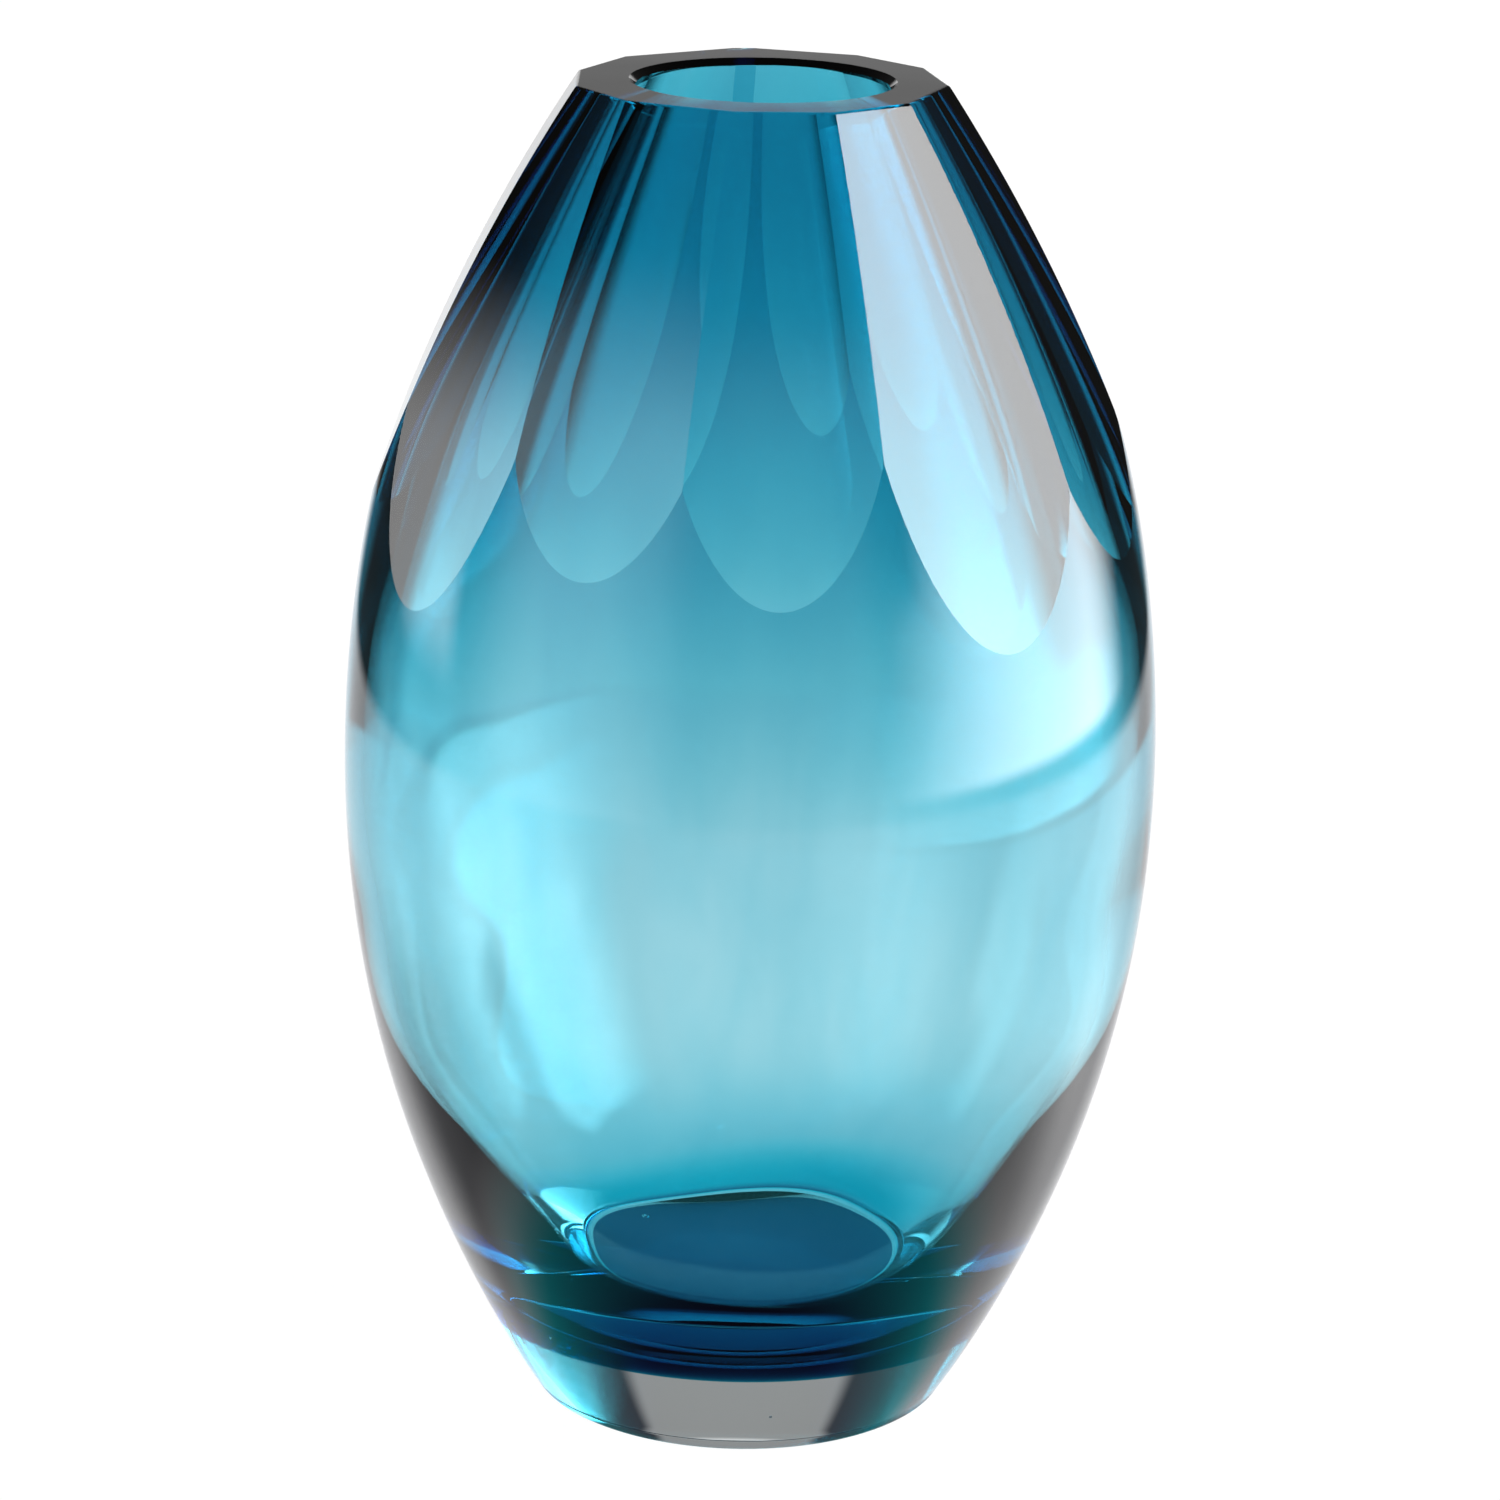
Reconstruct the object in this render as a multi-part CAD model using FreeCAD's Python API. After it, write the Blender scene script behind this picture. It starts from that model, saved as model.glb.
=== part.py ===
import FreeCAD, Part
import math
import os

# Cased crystal vase: an ovoid of clear glass over an inner layer of blue glass, with a thick clear foot and
# long flat-ground facets that run down from a flat polished rim.
# Millimetres, +Z up. The origin is the centre of the base, on the surface the vase stands on.

# Driving dimensions
HEIGHT = 254.0
BASE_RADIUS = 39.6
BASE_EDGE_ROUND = 1.5
FOOT_SLOPE = 0.66            # how fast the wall leans out at the base, mm of radius per mm of height
MOUTH_RADIUS = 23.3
MOUTH_CHAMFER = 1.2

# The blown ovoid before it is ground, as (height, radius)
OVOID = [(28.0, 54.9), (62.0, 67.7), (95.0, 74.6), (125.0, 76.5), (155.0, 74.7), (190.0, 67.8), (222.0, 55.3),
         (HEIGHT + 6.0, 31.5)]

# Where the blue layer meets the clear casing: lowest point on the axis, then (height, radius)
BLUE_BOTTOM = 16.0
BLUE_OUTER = [(16.1, 14.0), (16.9, 24.0), (18.9, 32.5), (23.4, 40.6), (31.4, 48.0), (44.5, 55.2), (60.8, 62.8),
              (77.6, 68.7), (98.8, 72.6), (125.0, 74.5), (147.0, 73.2), (160.0, 71.0), (176.0, 67.5),
              (190.0, 63.5), (205.0, 57.0), (225.0, 47.6), (240.0, 39.9), (HEIGHT, 31.2)]

# The cavity: lowest point on the axis, then (height, radius)
FLOOR_HEIGHT = 18.3
CAVITY = [(18.6, 8.0), (19.6, 16.0), (21.3, 24.0), (23.5, 31.0), (26.4, 37.0), (33.5, 45.3), (45.5, 53.2),
          (61.5, 61.2), (78.0, 67.0), (99.0, 70.9), (125.0, 72.8), (155.0, 69.6), (190.0, 57.4), (225.0, 38.8),
          (HEIGHT - MOUTH_CHAMFER, MOUTH_RADIUS)]

# The facets: each is one pass over a large wheel, flat across and slightly crowned along its length.
# They are ground by hand, so each has its own (direction, distance from the axis at the rim, lean off
# the vertical at the rim). Directions and leans are in degrees.
FACETS = [
    (-148.7, 33.2, 32.2),
    (-116.1, 33.5, 32.8),
    (-89.7, 33.8, 32.7),
    (-57.0, 34.1, 31.6),
    (-25.0, 33.0, 33.2),
    (3.8, 33.6, 32.6),
    (38.8, 33.6, 31.8),
    (69.2, 32.3, 33.3),
    (102.0, 32.6, 33.0),
    (132.6, 33.2, 32.4),
    (163.3, 33.6, 32.9),
]
FACET_CROWN_RADIUS = 353.0
FACET_REACH = 120.0          # how far down from the rim the grinding wheel can touch
WHEEL_WIDTH = 110.0
WHEEL_DEPTH = 70.0

# Building allowances: how far cutting shapes reach past the glass, and how firmly the two curves that
# start level or leaning hold their starting direction
OVERSHOOT = 5.0
WALL_START_PULL = 30.0
BOTTOM_START_PULL = 20.0


def point(height, radius):
    return FreeCAD.Vector(radius, 0.0, height)


def curve_through(points, start_tangent):
    """A smooth curve through (height, radius) points that leaves the first one along start_tangent."""
    spline = Part.BSplineCurve()
    vectors = [point(height, radius) for height, radius in points]
    spline.interpolate(Points=vectors, InitialTangent=start_tangent, FinalTangent=vectors[-1] - vectors[-2])
    return spline.toShape()


def line(start, end):
    return Part.LineSegment(start, end).toShape()


def turned(edges):
    """The solid of revolution of a closed outline in the XZ plane."""
    face = Part.Face(Part.Wire(edges))
    return face.revolve(FreeCAD.Vector(0, 0, 0), FreeCAD.Vector(0, 0, 1), 360.0)


def ovoid_blank():
    """The whole glass body, solid, with a flat base and a small round at its edge."""
    lean = math.atan(FOOT_SLOPE)
    turn = math.pi / 2.0 + lean
    setback = BASE_EDGE_ROUND * math.tan((math.pi - turn) / 2.0)
    on_base = point(0.0, BASE_RADIUS - setback)
    on_wall = point(setback * math.cos(lean), BASE_RADIUS + setback * math.sin(lean))
    centre = point(BASE_EDGE_ROUND, BASE_RADIUS - setback)
    middle_angle = -math.pi / 2.0 + (math.pi - turn) / 2.0
    middle = centre + FreeCAD.Vector(math.cos(middle_angle), 0.0, math.sin(middle_angle)) * BASE_EDGE_ROUND
    wall = curve_through([(on_wall.z, on_wall.x)] + OVOID,
                         FreeCAD.Vector(math.sin(lean), 0.0, math.cos(lean)) * WALL_START_PULL)
    top_height, top_radius = OVOID[-1]
    blank = turned([
        line(point(0.0, 0.0), on_base),
        Part.Arc(on_base, middle, on_wall).toShape(),
        wall,
        line(point(top_height, top_radius), point(top_height, 0.0)),
        line(point(top_height, 0.0), point(0.0, 0.0)),
    ])
    above_rim = Part.makeCylinder(top_radius * 2.0, top_height - HEIGHT + OVERSHOOT, point(HEIGHT, 0.0))
    return blank.cut(above_rim)


def facet_cutter(direction, at_rim, lean_degrees):
    """The glass that one facet removes: everything outside a wide crowned face."""
    lean = math.radians(lean_degrees)
    centre_out = at_rim - FACET_CROWN_RADIUS * math.cos(lean)
    centre_height = HEIGHT - FACET_CROWN_RADIUS * math.sin(lean)

    def on_face(height):
        rise = height - centre_height
        return point(height, centre_out + math.sqrt(FACET_CROWN_RADIUS ** 2 - rise ** 2))

    top = on_face(HEIGHT + OVERSHOOT)
    middle = on_face(HEIGHT - FACET_REACH / 2.0)
    bottom = on_face(HEIGHT - FACET_REACH)
    outside_top = top + FreeCAD.Vector(WHEEL_DEPTH, 0.0, 0.0)
    outside_bottom = bottom + FreeCAD.Vector(WHEEL_DEPTH, 0.0, 0.0)
    outline = Part.Wire([
        Part.Arc(top, middle, bottom).toShape(),
        line(bottom, outside_bottom),
        line(outside_bottom, outside_top),
        line(outside_top, top),
    ])
    face = Part.Face(outline)
    face.translate(FreeCAD.Vector(0.0, -WHEEL_WIDTH / 2.0, 0.0))
    cutter = face.extrude(FreeCAD.Vector(0.0, WHEEL_WIDTH, 0.0))
    # direction 0 is the front, -Y, and a positive direction turns towards +X
    cutter.rotate(FreeCAD.Vector(0, 0, 0), FreeCAD.Vector(0, 0, 1), direction - 90.0)
    return cutter


def inside_blue_layer():
    """Everything within the outer face of the blue layer, open upwards past the rim."""
    top_radius = BLUE_OUTER[-1][1]
    above = HEIGHT + OVERSHOOT
    return turned([
        curve_through([(BLUE_BOTTOM, 0.0)] + BLUE_OUTER, point(0.0, BOTTOM_START_PULL)),
        line(point(HEIGHT, top_radius), point(above, top_radius)),
        line(point(above, top_radius), point(above, 0.0)),
        line(point(above, 0.0), point(BLUE_BOTTOM, 0.0)),
    ])


def clear_outer_casing():
    casing = ovoid_blank()
    for direction, at_rim, lean_degrees in FACETS:
        casing = casing.cut(facet_cutter(direction, at_rim, lean_degrees))
    return casing.cut(inside_blue_layer())


def blue_inner_layer():
    """The coloured gather that lines the cavity, with a chamfer round the mouth."""
    rim_outer = point(HEIGHT, BLUE_OUTER[-1][1])
    rim_inner = point(HEIGHT, MOUTH_RADIUS + MOUTH_CHAMFER)
    mouth = point(HEIGHT - MOUTH_CHAMFER, MOUTH_RADIUS)
    return turned([
        curve_through([(BLUE_BOTTOM, 0.0)] + BLUE_OUTER, point(0.0, BOTTOM_START_PULL)),
        line(rim_outer, rim_inner),
        line(rim_inner, mouth),
        curve_through([(FLOOR_HEIGHT, 0.0)] + CAVITY, point(0.0, BOTTOM_START_PULL)),
        line(point(FLOOR_HEIGHT, 0.0), point(BLUE_BOTTOM, 0.0)),
    ])


def main():
    os.makedirs("parts", exist_ok=True)
    nodes = {
        "clear_outer_casing": clear_outer_casing(),
        "blue_inner_layer": blue_inner_layer(),
    }
    for name, shape in nodes.items():
        solids = shape.Solids
        print(name, "valid", shape.isValid(), "solids", len(solids), "volume", round(shape.Volume))
        solids[0].exportStep("parts/" + name + ".step")


main()
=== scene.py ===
import math

import bmesh
import bpy
import numpy as np
from mathutils import Matrix, Vector


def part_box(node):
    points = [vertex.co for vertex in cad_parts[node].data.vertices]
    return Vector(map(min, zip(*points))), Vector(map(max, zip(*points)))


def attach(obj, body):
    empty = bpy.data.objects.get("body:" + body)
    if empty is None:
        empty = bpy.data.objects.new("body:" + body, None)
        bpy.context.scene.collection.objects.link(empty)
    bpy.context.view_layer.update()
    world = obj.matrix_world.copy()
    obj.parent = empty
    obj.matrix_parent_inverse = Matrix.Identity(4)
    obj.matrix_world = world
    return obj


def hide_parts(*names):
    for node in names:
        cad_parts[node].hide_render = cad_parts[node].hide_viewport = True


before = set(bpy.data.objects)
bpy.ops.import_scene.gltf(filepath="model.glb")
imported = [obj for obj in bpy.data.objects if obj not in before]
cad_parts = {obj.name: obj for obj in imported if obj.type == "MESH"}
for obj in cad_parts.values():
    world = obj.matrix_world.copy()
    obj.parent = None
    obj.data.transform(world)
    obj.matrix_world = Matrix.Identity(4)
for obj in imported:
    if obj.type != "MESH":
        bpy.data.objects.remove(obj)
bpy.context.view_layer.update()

# A cased crystal vase: clear glass over an inner layer of blue glass. The scene is in metres, in the CAD
# frame: the base stands on Z = 0, -Y is the front and an angle from the front turns towards +X.
MM = 0.001

# The two glass shapes, in millimetres as in the CAD source
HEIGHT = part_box("blue_inner_layer")[1].z / MM
BASE_RADIUS = 39.6
BASE_EDGE_ROUND = 1.5
FOOT_LEAN = math.atan(0.66)
RIM_EDGE_ROUND = 0.4
MOUTH_RADIUS = 23.3
MOUTH_CHAMFER = 1.2
OVOID = [(28.0, 54.9), (62.0, 67.7), (95.0, 74.6), (125.0, 76.5), (155.0, 74.7), (190.0, 67.8),
         (222.0, 55.3), (HEIGHT + 6.0, 31.5)]
BLUE_BOTTOM = 16.0
BLUE_OUTER = [(16.1, 14.0), (16.9, 24.0), (18.9, 32.5), (23.4, 40.6), (31.4, 48.0), (44.5, 55.2),
              (60.8, 62.8), (77.6, 68.7), (98.8, 72.6), (125.0, 74.5), (147.0, 73.2), (160.0, 71.0),
              (176.0, 67.5), (190.0, 63.5), (205.0, 57.0), (225.0, 47.6), (240.0, 39.9), (HEIGHT, 31.2)]
FLOOR_HEIGHT = 18.3
CAVITY = [(18.6, 8.0), (19.6, 16.0), (21.3, 24.0), (23.5, 31.0), (26.4, 37.0), (33.5, 45.3), (45.5, 53.2),
          (61.5, 61.2), (78.0, 67.0), (99.0, 70.9), (125.0, 72.8), (155.0, 69.6), (190.0, 57.4),
          (225.0, 38.8), (HEIGHT - MOUTH_CHAMFER, MOUTH_RADIUS)]
# Facets: direction, distance from the axis at the rim, lean off the vertical at the rim
FACETS = [
    (-148.7, 33.2, 32.2),
    (-116.1, 33.5, 32.8),
    (-89.7, 33.8, 32.7),
    (-57.0, 34.1, 31.6),
    (-25.0, 33.0, 33.2),
    (3.8, 33.6, 32.6),
    (38.8, 33.6, 31.8),
    (69.2, 32.3, 33.3),
    (102.0, 32.6, 33.0),
    (132.6, 33.2, 32.4),
    (163.3, 33.6, 32.9),
]
FACET_CROWN_RADIUS = 353.0
TIP_SEARCH = (HEIGHT - 130.0, HEIGHT - 40.0)     # every facet ends between these heights
OUTER_DEPTH = 5.0                                # the facets are cut less than this far into the ovoid

# The unevenness of the blown inner surface, in millimetres: everywhere, and what is added low down
RIPPLE = 0.12
LOW_RIPPLE = 0.12

# Air bubbles caught in the glass: centre and radius
SEEDS = [((-19.5, 8.0, 18.6), 0.9), ((6.0, -38.0, 9.0), 0.25), ((-33.0, -30.0, 21.0), 0.3)]

# How finely the surfaces are divided
CURVE_POINTS = 4000
FACET_COLUMNS = 20           # across one facet, and across one gap between facets
LAYER_COLUMNS = 256
ROW_STEP = 2.0
TIP_ROW_STEPS = (0.0, 0.08, 0.25, 0.55, 1.0, 1.6)
RIM_EDGE_ANGLES = (30.0, 60.0, 90.0)
LAYER_INSET = 0.06           # the blue glass stays this far inside the surface of the whole


# ---------------------------------------------------------------- shapes

def smooth_curve(points, start):
    """Many (height, radius) points along a cubic spline through the given ones.

    start is its direction at the first point, as (height, radius) per unit of length."""
    p = np.array(points, dtype=float)
    t = np.concatenate([[0.0], np.cumsum(np.linalg.norm(np.diff(p, axis=0), axis=1))])
    h = np.diff(t)
    n = len(p)
    a = np.zeros((n, n))
    b = np.zeros((n, 2))
    for i in range(1, n - 1):
        a[i, i - 1:i + 2] = (1.0 / h[i - 1], 2.0 / h[i - 1] + 2.0 / h[i], 1.0 / h[i])
        b[i] = 3.0 * ((p[i] - p[i - 1]) / h[i - 1] ** 2 + (p[i + 1] - p[i]) / h[i] ** 2)
    a[0, 0] = 1.0
    b[0] = start
    a[-1, -2:] = (1.0, 2.0)
    b[-1] = 3.0 * (p[-1] - p[-2]) / h[-1]
    m = np.linalg.solve(a, b)
    s = np.linspace(0.0, t[-1], CURVE_POINTS)
    i = np.clip(np.searchsorted(t, s) - 1, 0, n - 2)
    u = ((s - t[i]) / h[i])[:, None]
    hh = h[i][:, None]
    return ((2 * u ** 3 - 3 * u ** 2 + 1) * p[i] + (u ** 3 - 2 * u ** 2 + u) * hh * m[i]
            + (3 * u ** 2 - 2 * u ** 3) * p[i + 1] + (u ** 3 - u ** 2) * hh * m[i + 1])


def base_edge():
    """The small round between the flat base and the wall, as (height, radius) points."""
    half = (math.pi / 2.0 - FOOT_LEAN) / 2.0
    setback = BASE_EDGE_ROUND * math.tan(half)
    angles = np.linspace(-math.pi / 2.0, -FOOT_LEAN, 7)
    return [(BASE_EDGE_ROUND * (1.0 + math.sin(angle)),
             BASE_RADIUS - setback + BASE_EDGE_ROUND * math.cos(angle)) for angle in angles]


WALL = smooth_curve([base_edge()[-1]] + OVOID, start=(math.cos(FOOT_LEAN), math.sin(FOOT_LEAN)))
CAVITY_CURVE = smooth_curve([(FLOOR_HEIGHT, 0.0)] + CAVITY, start=(0.0, 1.0))
BLUE_CURVE = smooth_curve([(BLUE_BOTTOM, 0.0)] + BLUE_OUTER, start=(0.0, 1.0))


def wall_radius(z):
    return float(np.interp(z, WALL[:, 0], WALL[:, 1]))


def wall_normal(z, angle):
    """The ovoid's outward direction at one height and angle."""
    rise = 0.05
    slope = (wall_radius(z + rise) - wall_radius(z - rise)) / (2.0 * rise)
    return Vector((math.sin(angle), -math.cos(angle), -slope)).normalized()


def facet_distance(facet, z):
    """How far a facet's face is from the axis at height z."""
    _, at_rim, lean = facet
    lean = math.radians(lean)
    rise = z - HEIGHT + FACET_CROWN_RADIUS * math.sin(lean)
    return at_rim - FACET_CROWN_RADIUS * math.cos(lean) + math.sqrt(FACET_CROWN_RADIUS ** 2 - rise ** 2)


def facet_normal(facet, z):
    """A facet's outward direction at height z: it is flat across and crowned along its length."""
    direction, _, lean = facet
    rise = z - HEIGHT + FACET_CROWN_RADIUS * math.sin(math.radians(lean))
    up = math.asin(rise / FACET_CROWN_RADIUS)
    turn = math.radians(direction)
    return Vector((math.cos(up) * math.sin(turn), -math.cos(up) * math.cos(turn), math.sin(up)))


def facet_tip(facet):
    """The height of a facet's lowest point, where its face leaves the ovoid."""
    low, high = TIP_SEARCH
    for _ in range(40):
        middle = (low + high) / 2.0
        if facet_distance(facet, middle) < wall_radius(middle):
            high = middle
        else:
            low = middle
    return high


def facet_span(index, z):
    """The angles where one facet starts and ends at height z; both are its direction below its tip."""
    facet = FACETS[index]
    turn = math.radians(facet[0])
    distance = facet_distance(facet, z)
    radius = wall_radius(z)
    if distance >= radius:
        return turn, turn
    half = math.acos(distance / radius)
    ends = []
    for side in (-1, 1):
        other = FACETS[(index + side) % len(FACETS)]
        apart = math.radians((other[0] - facet[0]) * side % 360.0)
        # the ridge where both faces are equally far out
        far = facet_distance(other, z)
        ridge = math.atan2(far / distance - math.cos(apart), math.sin(apart))
        ends.append(turn + side * (min(half, ridge) if far < radius else half))
    return tuple(ends)


def outer_ring(z, shrink=0.0):
    """One row of the outer surface at height z: (x, y) for each column, facet and gap in turn.

    shrink takes the row in a little, for the rounded rim edge."""
    spans = [facet_span(index, z) for index in range(len(FACETS))]
    ring = []
    for index, facet in enumerate(FACETS):
        start, end = spans[index]
        turn = math.radians(facet[0])
        distance = facet_distance(facet, z) - shrink
        for column in range(FACET_COLUMNS):
            share = column / FACET_COLUMNS
            if start == end:
                angle = start
                radius = wall_radius(z) - shrink
            else:
                across = math.tan(start - turn) * (1.0 - share) + math.tan(end - turn) * share
                angle = turn + math.atan(across)
                radius = distance / math.cos(angle - turn)
            ring.append((radius * math.sin(angle), -radius * math.cos(angle)))
        next_start = spans[(index + 1) % len(FACETS)][0]
        gap = max((next_start - end + math.pi) % (2.0 * math.pi) - math.pi, 0.0)
        for column in range(FACET_COLUMNS):
            angle = end + gap * column / FACET_COLUMNS
            radius = wall_radius(z) - shrink
            if gap < 1e-6:
                radius = distance / math.cos(end - turn)
            ring.append((radius * math.sin(angle), -radius * math.cos(angle)))
    return ring


def cavity_ripple(z, angle):
    """The slight unevenness of the blown inner surface, in millimetres.

    It is stronger low down, and fades out at the ground mouth and at the floor."""
    fade = min(1.0, max(0.0, (HEIGHT - 12.0 - z) / 60.0)) * min(1.0, max(0.0, (z - FLOOR_HEIGHT) / 12.0))
    wave = (math.sin(3.0 * angle + z / 17.0 + 0.7) + 0.7 * math.sin(5.0 * angle - z / 11.0 + 2.1)
            + 0.5 * math.sin(2.0 * angle + z / 6.5))
    low = min(1.0, max(0.0, (110.0 - z) / 50.0))
    return (RIPPLE + LOW_RIPPLE * low) * fade * wave


def rings_to_mesh(name, rings, start_centre, end_centre):
    """A closed mesh of rings of (x, y, z) in millimetres; each end closes on its centre point."""
    bm = bmesh.new()
    rows = [[bm.verts.new((x * MM, y * MM, z * MM)) for x, y, z in ring] for ring in rings]
    for below, above in zip(rows, rows[1:]):
        for column in range(len(below)):
            after = (column + 1) % len(below)
            bm.faces.new((below[column], below[after], above[after], above[column]))
    for row, centre, flip in ((rows[0], start_centre, False), (rows[-1], end_centre, True)):
        middle = bm.verts.new([value * MM for value in centre])
        for column in range(len(row)):
            after = (column + 1) % len(row)
            corners = (middle, row[column], row[after]) if flip else (middle, row[after], row[column])
            bm.faces.new(corners)
    bmesh.ops.remove_doubles(bm, verts=bm.verts, dist=2e-7)
    bmesh.ops.dissolve_degenerate(bm, edges=bm.edges, dist=1e-7)
    for face in bm.faces:
        face.smooth = True
    bm.normal_update()
    mesh = bpy.data.meshes.new(name)
    bm.to_mesh(mesh)
    bm.free()
    return mesh


def outer_heights():
    """Row heights up the wall, closer together just above each facet's tip."""
    start = base_edge()[-1][0]
    top = HEIGHT - RIM_EDGE_ROUND
    even = list(np.linspace(start, top, int((top - start) / ROW_STEP)))
    tips = [facet_tip(facet) + step for facet in FACETS for step in TIP_ROW_STEPS]
    return sorted(even + tips)


def profile_points(curve, step):
    """Points about one step apart along a dense curve."""
    length = np.concatenate([[0.0], np.cumsum(np.linalg.norm(np.diff(curve, axis=0), axis=1))])
    wanted = np.linspace(0.0, length[-1], int(length[-1] / step))
    return [(float(np.interp(s, length, curve[:, 0])), float(np.interp(s, length, curve[:, 1])))
            for s in wanted]


def glass_body():
    """The whole glass: the outside with its facets, the flat rim and the cavity, as one closed mesh."""
    rings = []
    heights = outer_heights()
    columns = [math.atan2(x, -y) for x, y in outer_ring(heights[0])]
    for z, radius in base_edge()[:-1]:
        rings.append([(radius * math.sin(a), -radius * math.cos(a), z) for a in columns])
    for z in heights:
        rings.append([(x, y, z) for x, y in outer_ring(z)])
    for angle in RIM_EDGE_ANGLES:
        turn = math.radians(angle)
        z = HEIGHT - RIM_EDGE_ROUND * (1.0 - math.sin(turn))
        rings.append([(x, y, z) for x, y in outer_ring(z, RIM_EDGE_ROUND * (1.0 - math.cos(turn)))])
    columns = [math.atan2(x, -y) for x, y in outer_ring(HEIGHT)]
    radius = MOUTH_RADIUS + MOUTH_CHAMFER
    rings.append([(radius * math.sin(a), -radius * math.cos(a), HEIGHT) for a in columns])
    for z, radius in reversed(profile_points(CAVITY_CURVE, ROW_STEP)[1:]):
        ring = []
        for a in columns:
            r = radius + cavity_ripple(z, a)
            ring.append((r * math.sin(a), -r * math.cos(a), z))
        rings.append(ring)
    mesh = rings_to_mesh("glass_body", rings, (0.0, 0.0, 0.0), (0.0, 0.0, FLOOR_HEIGHT))
    add_seeds(mesh)
    return mesh


def add_seeds(mesh):
    """Small air bubbles in the glass, as hollows in the closed mesh."""
    bm = bmesh.new()
    bm.from_mesh(mesh)
    for place, radius in SEEDS:
        sphere = bmesh.ops.create_icosphere(bm, subdivisions=3, radius=radius * MM,
                                            matrix=Matrix.Translation([value * MM for value in place]))
        faces = {face for vertex in sphere["verts"] for face in vertex.link_faces}
        bmesh.ops.reverse_faces(bm, faces=list(faces))
        for face in faces:
            face.smooth = True
    bm.to_mesh(mesh)
    bm.free()


FACING_LEAST = 0.8           # every facet's half angle has a cosine above this
FACE_TOLERANCE = 0.004       # a point this close to a facet's face lies on it, in millimetres
FACETS_ABOVE = 0.15          # no facet reaches lower than this, in metres
SHARP_ANGLE = 25.0


def facet_of(centre):
    """The facet that a point on the outer surface lies on, or None on the ovoid."""
    z = centre.z / MM
    angle = math.atan2(centre.x, -centre.y)
    radius = math.hypot(centre.x, centre.y) / MM
    for facet in FACETS:
        turn = math.radians(facet[0])
        distance = facet_distance(facet, z)
        facing = math.cos(angle - turn)
        on_face = facing > FACING_LEAST and abs(radius * facing - distance) < FACE_TOLERANCE
        if on_face and distance < wall_radius(z):
            return facet
    return None


def crisp_normals(mesh):
    """Gives each facet and the ovoid between them their exact normals, so that the cut edges stay crisp.

    A colour attribute marks the ovoid between the facets, where the glass gets painted shade: a blue tint
    that makes the ovoid look darker and bluer and the facets lighter."""
    low = base_edge()[-1][0] * MM
    high = (HEIGHT - RIM_EDGE_ROUND) * MM
    # painted shade: this mask marks the ovoid between the facets, which the glass material tints blue
    painted_shade_mask = mesh.color_attributes.new("painted_shade_mask", "FLOAT_COLOR", "CORNER")
    painted_shade_mask.data.foreach_set("color", [0.0, 0.0, 0.0, 1.0] * len(mesh.loops))
    normals = [Vector((0.0, 0.0, 0.0))] * len(mesh.loops)
    for polygon in mesh.polygons:
        points = [mesh.vertices[i].co for i in polygon.vertices]
        level = {round(p.z / MM, 3) for p in points}
        if level in ({0.0}, {round(HEIGHT, 3)}):
            for loop in polygon.loop_indices:
                normals[loop] = Vector((0.0, 0.0, math.copysign(1.0, polygon.normal.z)))
            continue
        if min(p.z for p in points) < low - 1e-6 or max(p.z for p in points) > high + 1e-6:
            continue
        centre = sum(points, Vector()) / len(points)
        outward = polygon.normal.dot(Vector((centre.x, centre.y, 0.0))) > 0.0
        depth = wall_radius(centre.z / MM) - math.hypot(centre.x, centre.y) / MM
        if depth > OUTER_DEPTH or not outward:
            continue
        facet = facet_of(centre) if centre.z > FACETS_ABOVE else None
        for loop in polygon.loop_indices:
            place = mesh.vertices[mesh.loops[loop].vertex_index].co
            if facet:
                normals[loop] = facet_normal(facet, place.z / MM)
            else:
                normals[loop] = wall_normal(place.z / MM, math.atan2(place.x, -place.y))
                painted_shade_mask.data[loop].color = (1.0, 1.0, 1.0, 1.0)
    mesh.set_sharp_from_angle(angle=math.radians(SHARP_ANGLE))
    mesh.normals_split_custom_set(normals)


def blue_body():
    """The blue layer, a hair inside the surface of the whole so that only its colour shows."""
    columns = [2.0 * math.pi * column / LAYER_COLUMNS for column in range(LAYER_COLUMNS)]
    top = HEIGHT - LAYER_INSET
    rings = []

    def plain_ring(z, radius):
        rings.append([(radius * math.sin(a), -radius * math.cos(a), z) for a in columns])

    for z, radius in profile_points(BLUE_CURVE, ROW_STEP)[1:]:
        plain_ring(min(z, top), radius)
    plain_ring(top, MOUTH_RADIUS + MOUTH_CHAMFER + LAYER_INSET)
    points = profile_points(CAVITY_CURVE, ROW_STEP)
    for i in range(len(points) - 1, 0, -1):
        before = points[i - 1]
        after = points[min(i + 1, len(points) - 1)]
        along = Vector((after[0] - before[0], after[1] - before[1])).normalized()
        z = points[i][0] - along.y * LAYER_INSET
        ring = []
        for a in columns:
            r = points[i][1] + along.x * LAYER_INSET + cavity_ripple(z, a)
            ring.append((r * math.sin(a), -r * math.cos(a), z))
        rings.append(ring)
    floor = (0.0, 0.0, FLOOR_HEIGHT - LAYER_INSET)
    return rings_to_mesh("blue_layer", rings, (0.0, 0.0, BLUE_BOTTOM), floor)


# ---------------------------------------------------------------- materials

def add_node(material, kind, values=None, **settings):
    """A node with some settings and unlinked input values."""
    node = material.node_tree.nodes.new(kind)
    for name, value in settings.items():
        setattr(node, name, value)
    for name, value in (values or {}).items():
        node.inputs[name].default_value = value
    return node


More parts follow.
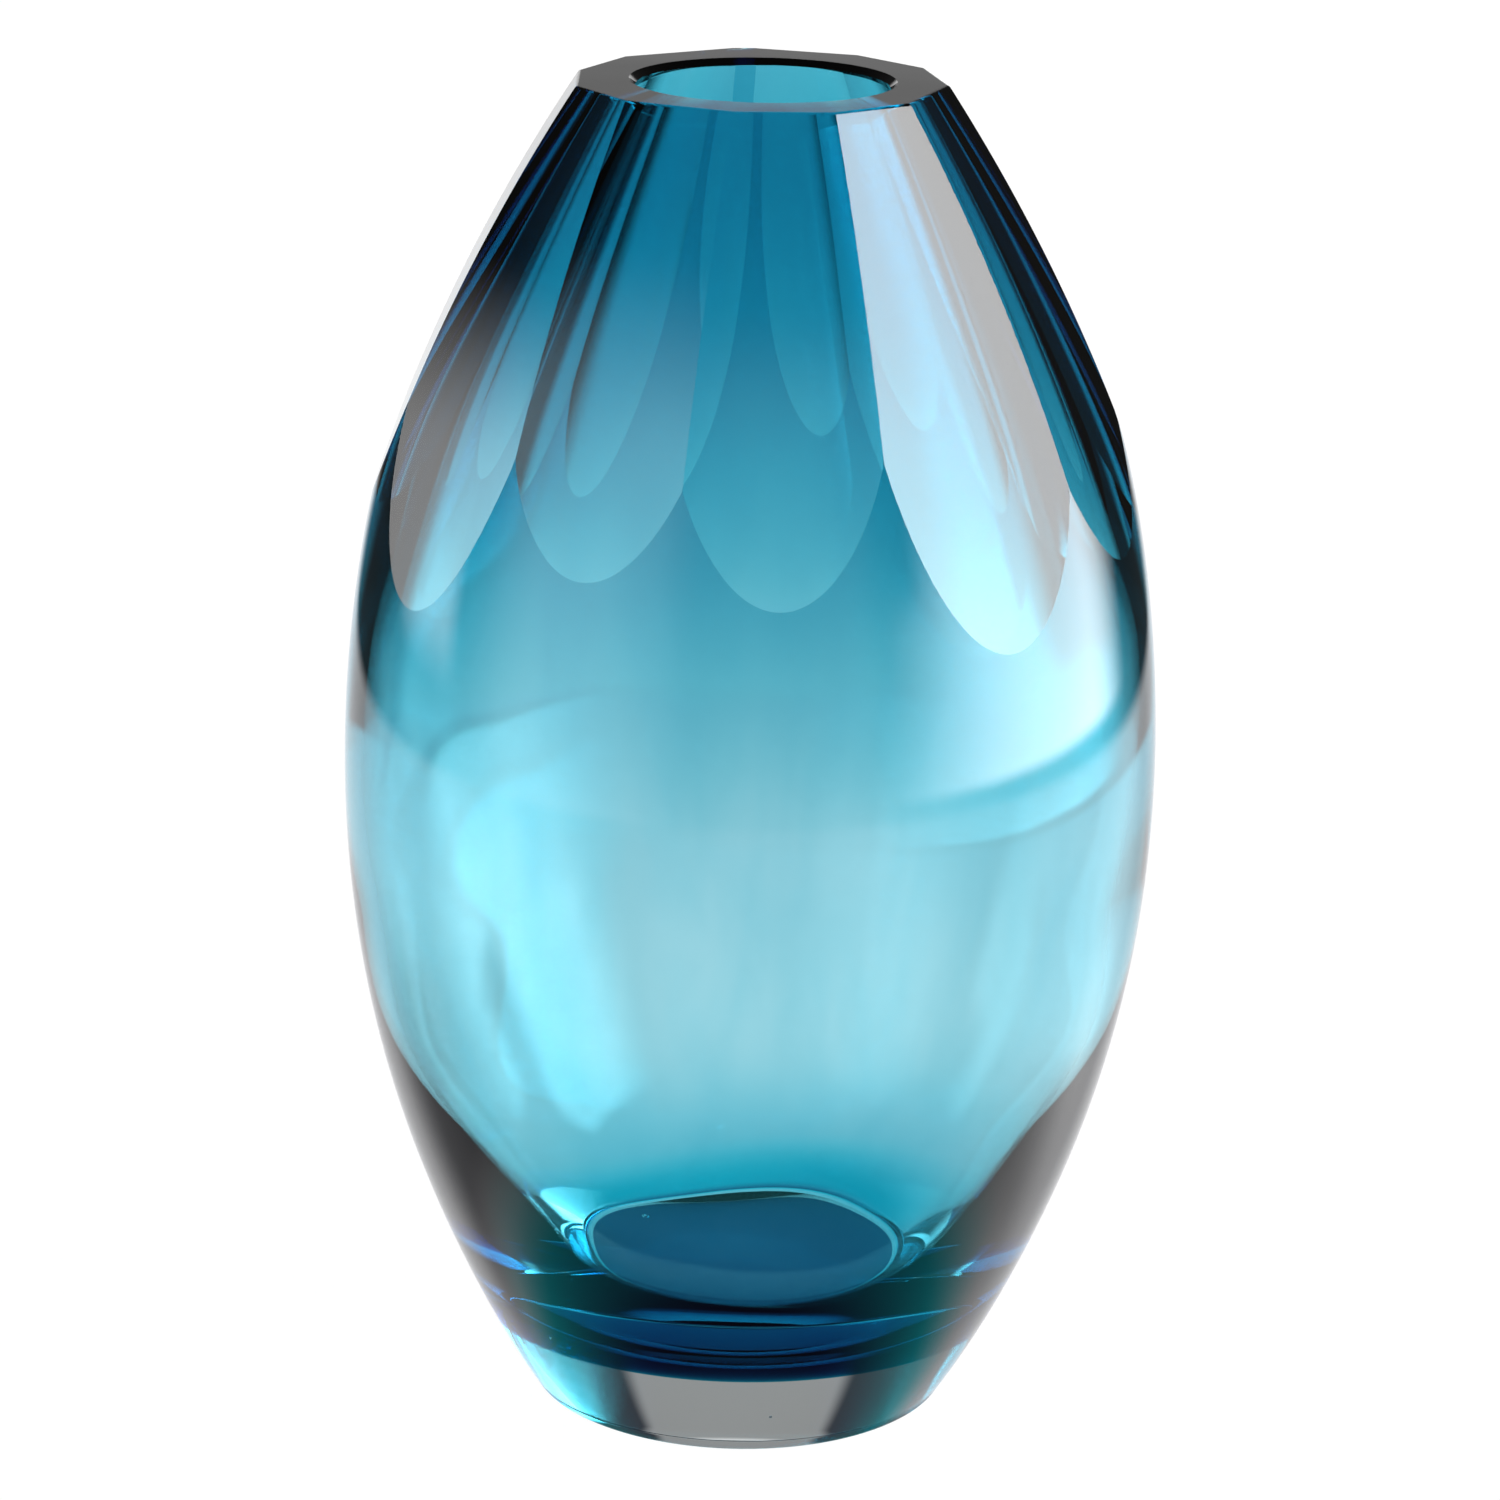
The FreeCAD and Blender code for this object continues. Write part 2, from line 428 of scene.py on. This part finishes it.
def glass_material(name, ior, absorb, density):
    """A clear transmitting surface around a volume that only takes colour out."""
    material = bpy.data.materials.new(name)
    material.use_nodes = True
    nodes = material.node_tree.nodes
    shader = nodes["Principled BSDF"]
    shader.inputs["IOR"].default_value = ior
    shader.inputs["Transmission Weight"].default_value = 1.0
    volume = add_node(material, "ShaderNodeVolumeAbsorption", {"Color": absorb, "Density": density})
    material.node_tree.links.new(volume.outputs["Volume"], nodes["Material Output"].inputs["Volume"])
    return material


WHITE = (1.0, 1.0, 1.0, 1.0)
# painted shade: the blue tint on the ovoid between the facets, which makes the facets look lighter
PAINTED_SHADE_TINT = (0.24, 0.59, 0.68, 1.0)
PAINTED_SHADE_RISE = (0.085, 0.165)   # the painted shade comes in between these heights, in metres
WAVINESS = 0.00004
SCUFFED_HEIGHT = 0.0006      # the scuffs on the base have faded out at this height, in metres


def clear_glass():
    """Polished glass with a faint hand-made waviness, fine polishing haze and a scuffed base."""
    material = glass_material("clear_glass", 1.5, (0.55, 0.92, 0.95, 1.0), 1.6)
    links = material.node_tree.links
    shader = material.node_tree.nodes["Principled BSDF"]
    place = add_node(material, "ShaderNodeTexCoord")

    # painted shade: the ovoid between the facets is tinted faintly blue from the belly up, so it looks
    # darker and bluer and the facets cut through it look lighter
    painted_shade_mask = add_node(material, "ShaderNodeVertexColor", layer_name="painted_shade_mask")
    height = add_node(material, "ShaderNodeSeparateXYZ")
    rise = add_node(material, "ShaderNodeMapRange", {"From Min": PAINTED_SHADE_RISE[0], "From Max": PAINTED_SHADE_RISE[1]},
                    interpolation_type="SMOOTHSTEP")
    amount = add_node(material, "ShaderNodeMath", operation="MULTIPLY")
    painted_shade_mix = add_node(material, "ShaderNodeMix", data_type="RGBA")
    painted_shade_mix.inputs[6].default_value = WHITE
    painted_shade_mix.inputs[7].default_value = PAINTED_SHADE_TINT
    links.new(place.outputs["Object"], height.inputs[0])
    links.new(height.outputs["Z"], rise.inputs["Value"])
    links.new(rise.outputs["Result"], amount.inputs[0])
    links.new(painted_shade_mask.outputs["Color"], amount.inputs[1])
    links.new(amount.outputs[0], painted_shade_mix.inputs[0])
    links.new(painted_shade_mix.outputs[2], shader.inputs["Base Color"])

    waves = add_node(material, "ShaderNodeTexNoise", {"Scale": 28.0, "Detail": 2.0, "Roughness": 0.4})
    bump = add_node(material, "ShaderNodeBump", {"Strength": 1.0, "Distance": WAVINESS})
    links.new(place.outputs["Object"], waves.inputs["Vector"])
    links.new(waves.outputs["Fac"], bump.inputs["Height"])
    links.new(bump.outputs["Normal"], shader.inputs["Normal"])

    haze = add_node(material, "ShaderNodeTexNoise", {"Scale": 240.0, "Detail": 6.0, "Roughness": 0.7})
    polish = add_node(material, "ShaderNodeMapRange",
                      {"From Min": 0.45, "From Max": 0.8, "To Min": 0.0, "To Max": 0.012})
    scuffs = add_node(material, "ShaderNodeMapRange",
                      {"From Min": 0.5, "From Max": 0.75, "To Min": 0.01, "To Max": 0.09})
    axes = add_node(material, "ShaderNodeSeparateXYZ")
    on_base = add_node(material, "ShaderNodeMapRange",
                       {"From Min": 0.0, "From Max": SCUFFED_HEIGHT, "To Min": 1.0, "To Max": 0.0})
    mix = add_node(material, "ShaderNodeMix")
    links.new(place.outputs["Object"], haze.inputs["Vector"])
    links.new(place.outputs["Object"], axes.inputs[0])
    links.new(haze.outputs["Fac"], polish.inputs["Value"])
    links.new(haze.outputs["Fac"], scuffs.inputs["Value"])
    links.new(axes.outputs["Z"], on_base.inputs["Value"])
    links.new(on_base.outputs["Result"], mix.inputs["Factor"])
    links.new(polish.outputs["Result"], mix.inputs["A"])
    links.new(scuffs.outputs["Result"], mix.inputs["B"])
    links.new(mix.outputs["Result"], shader.inputs["Roughness"])
    return material


def blue_glass():
    """Blue glass with faint drawn-out streaks. Its surface does not refract: the whole glass does that."""
    material = glass_material("blue_glass", 1.0, (0.0, 0.706, 0.81, 1.0), 313.0)
    links = material.node_tree.links
    shader = material.node_tree.nodes["Principled BSDF"]
    shader.inputs["Roughness"].default_value = 0.0
    place = add_node(material, "ShaderNodeTexCoord")
    stretch = add_node(material, "ShaderNodeMapping", {"Scale": (60.0, 60.0, 14.0)})
    streaks = add_node(material, "ShaderNodeTexNoise", {"Scale": 1.0, "Detail": 3.0, "Distortion": 0.6})
    tint = add_node(material, "ShaderNodeValToRGB")
    tint.color_ramp.elements[0].position = 0.35
    tint.color_ramp.elements[0].color = (0.86, 0.96, 0.975, 1.0)
    tint.color_ramp.elements[1].position = 0.65
    tint.color_ramp.elements[1].color = WHITE
    links.new(place.outputs["Object"], stretch.inputs["Vector"])
    links.new(stretch.outputs["Vector"], streaks.inputs["Vector"])
    links.new(streaks.outputs["Fac"], tint.inputs["Fac"])
    links.new(tint.outputs["Color"], shader.inputs["Base Color"])
    return material


# ---------------------------------------------------------------- camera and studio

CAMERA_DISTANCE = 0.940
CAMERA_HEIGHT = 0.413
CAMERA_PITCH = 16.96
CAMERA_ROLL = 1.144
LENS = 124.6


def make_camera():
    camera = bpy.data.objects.new("camera", bpy.data.cameras.new("camera"))
    bpy.context.scene.collection.objects.link(camera)
    camera.data.lens = LENS
    camera.data.clip_end = 50.0
    camera.matrix_world = (Matrix.Translation((0.0, -CAMERA_DISTANCE, CAMERA_HEIGHT))
                           @ Matrix.Rotation(math.radians(90.0 - CAMERA_PITCH), 4, "X")
                           @ Matrix.Rotation(math.radians(CAMERA_ROLL), 4, "Z"))
    bpy.context.scene.camera = camera


def calculate(nodes, links, operation, *values):
    """A math node; each value is a socket or a number."""
    node = nodes.new("ShaderNodeMath")
    node.operation = operation
    for socket, value in zip(node.inputs, values):
        if isinstance(value, (int, float)):
            socket.default_value = value
        else:
            links.new(value, socket)
    return node.outputs[0]


def window(nodes, links, value, starts, full_from, full_to, ends):
    """1 where value is between full_from and full_to, fading smoothly to 0 at starts and at ends."""
    edges = []
    for dark, bright in ((starts, full_from), (ends, full_to)):
        ramp = nodes.new("ShaderNodeMapRange")
        ramp.interpolation_type = "SMOOTHSTEP"
        ramp.inputs["From Min"].default_value = math.radians(dark)
        ramp.inputs["From Max"].default_value = math.radians(bright)
        links.new(value, ramp.inputs["Value"])
        edges.append(ramp.outputs["Result"])
    return calculate(nodes, links, "MULTIPLY", *edges)


# The studio by direction. Each area has its azimuth from the front and its elevation, both in degrees as
# (starts, full from, full to, ends), and its brightness or colour; overlapping areas add up.
ALL_ROUND = (-200.0, -190.0, 190.0, 200.0)
TABLE_EDGE = (-14.0, -12.8)
LIGHT_EDGE = (-12.4, -11.0)


def behind(starts, full_from, rise, brightness):
    """An area centred on the back, as one half on each side of where the azimuth jumps by a full turn."""
    return [((starts, full_from, 190.0, 200.0), rise, brightness),
            ((-200.0, -190.0, -full_from, -starts), rise, brightness)]


STUDIO_AREAS = [
    # the white table, shaded blue by the vase close to it, red first; and its brighter right side
    (ALL_ROUND, (-52.0, -40.0) + TABLE_EDGE, (0.93, 0.0, 0.0)),
    (ALL_ROUND, (-70.0, -42.0) + TABLE_EDGE, (0.0, 0.93, 0.0)),
    (ALL_ROUND, (-74.0, -43.0) + TABLE_EDGE, (0.0, 0.0, 0.95)),
    ((60.0, 98.0, 128.0, 150.0), (-40.0, -25.0) + TABLE_EDGE, 1.0),
    # the shadow of the vase, to its left
    ((-150.0, -125.0, -60.0, -30.0), (-46.0, -38.0, -28.0, -20.0), -0.6),
    # the large soft light on the right, wider at its foot
    ((34.0, 84.0, 108.0, 132.0), LIGHT_EDGE + (2.0, 8.0), 8.5),
    ((44.0, 72.0, 92.0, 104.0), (2.0, 8.0, 36.0, 46.0), 10.0),
    # a small light and a wide dim one on the left
    ((-124.0, -114.0, -98.0, -90.0), (-9.0, -4.0, 7.0, 16.0), 2.6),
    ((-92.0, -60.0, -48.0, -12.0), TABLE_EDGE + (26.0, 40.0), 2.0),
    # the grey room in front
    ((-40.0, -25.0, 25.0, 40.0), TABLE_EDGE + (34.0, 42.0), 0.45),
    # behind: a white screen, and the grey room above it
    *behind(156.0, 168.0, TABLE_EDGE + (6.0, 10.0), 0.95),
    *behind(160.0, 164.0, (6.0, 10.0, 60.0, 80.0), 0.28),
]
STUDIO_DARK = 0.04


def make_studio():
    """The world that the glass reflects and refracts. The camera itself sees plain white."""
    world = bpy.data.worlds.new("studio")
    bpy.context.scene.world = world
    world.use_nodes = True
    nodes = world.node_tree.nodes
    links = world.node_tree.links
    nodes.clear()
    place = nodes.new("ShaderNodeTexCoord")
    axes = nodes.new("ShaderNodeSeparateXYZ")
    links.new(place.outputs["Generated"], axes.inputs[0])
    to_front = calculate(nodes, links, "MULTIPLY", axes.outputs["Y"], -1.0)
    azimuth = calculate(nodes, links, "ARCTAN2", axes.outputs["X"], to_front)
    elevation = calculate(nodes, links, "ARCSINE", axes.outputs["Z"])
    total = None
    for turn, rise, colour in STUDIO_AREAS:
        across = window(nodes, links, azimuth, *turn)
        up = window(nodes, links, elevation, *rise)
        light = nodes.new("ShaderNodeVectorMath")
        light.operation = "MULTIPLY_ADD"
        light.inputs[1].default_value = colour if isinstance(colour, tuple) else (colour, colour, colour)
        light.inputs[2].default_value = (STUDIO_DARK, STUDIO_DARK, STUDIO_DARK)
        links.new(calculate(nodes, links, "MULTIPLY", across, up), light.inputs[0])
        if total:
            links.new(total, light.inputs[2])
        total = light.outputs["Vector"]
    studio = nodes.new("ShaderNodeBackground")
    links.new(total, studio.inputs["Color"])
    plain = nodes.new("ShaderNodeBackground")
    plain.inputs["Color"].default_value = WHITE
    mix = nodes.new("ShaderNodeMixShader")
    path = nodes.new("ShaderNodeLightPath")
    output = nodes.new("ShaderNodeOutputWorld")
    links.new(path.outputs["Is Camera Ray"], mix.inputs[0])
    links.new(studio.outputs[0], mix.inputs[1])
    links.new(plain.outputs[0], mix.inputs[2])
    links.new(mix.outputs[0], output.inputs["Surface"])


FLOOR_RADIUS = 4.0
FLOOR_LEVEL = -0.0004
CONTACT_RADIUS = 0.0385
CONTACT_LEVEL = -0.0002
# painted shadow: the glow of the disc under the base, deep blue as the shaded table under the vase would be
CONTACT_SHADOW_GLOW = (0.002, 0.13, 0.25)
DISC_CORNERS = 96


def level_disc(name, radius, height, shade, glow):
    """A flat glowing disc that belongs to the studio; glow is a colour."""
    bm = bmesh.new()
    bmesh.ops.create_circle(bm, cap_ends=True, segments=DISC_CORNERS, radius=radius)
    mesh = bpy.data.meshes.new(name)
    bm.to_mesh(mesh)
    bm.free()
    disc = bpy.data.objects.new(name, mesh)
    disc.location.z = height
    bpy.context.scene.collection.objects.link(disc)
    material = bpy.data.materials.new(name)
    material.use_nodes = True
    shader = material.node_tree.nodes["Principled BSDF"]
    shader.inputs["Base Color"].default_value = (shade, shade, shade, 1.0)
    shader.inputs["Roughness"].default_value = 0.9
    shader.inputs["Emission Color"].default_value = (*glow, 1.0)
    shader.inputs["Emission Strength"].default_value = 1.0
    mesh.materials.append(material)
    return disc


def make_floor():
    """The pale floor that the camera sees, and a glowing disc of painted shadow under the base, lit deep
    blue as if by light through the glass, that shows through the base.

    What the glass reflects and refracts of the table is in the studio, so the floor is left out there."""
    floor = level_disc("floor", FLOOR_RADIUS, FLOOR_LEVEL, 0.0, (1.0, 1.0, 1.0))
    floor.visible_glossy = False
    floor.visible_transmission = False
    # painted shadow: a glowing blue disc under the base, seen through the glass
    level_disc("painted_contact_shadow", CONTACT_RADIUS, CONTACT_LEVEL, 0.02, CONTACT_SHADOW_GLOW)


def add_piece(mesh, material, node):
    """One visible piece that rides the vase's body and stands in for a CAD node."""
    piece = bpy.data.objects.new(mesh.name, mesh)
    bpy.context.scene.collection.objects.link(piece)
    mesh.materials.append(material)
    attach(piece, "root")
    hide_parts(node)


LIGHT_BOUNCES = 40           # light crosses the nested glass many times

make_camera()
make_studio()
make_floor()

body = glass_body()
crisp_normals(body)
add_piece(body, clear_glass(), "clear_outer_casing")
add_piece(blue_body(), blue_glass(), "blue_inner_layer")

scene = bpy.context.scene
scene.view_settings.view_transform = "Standard"
scene.cycles.max_bounces = LIGHT_BOUNCES
scene.cycles.transmission_bounces = LIGHT_BOUNCES
scene.cycles.use_denoising = True
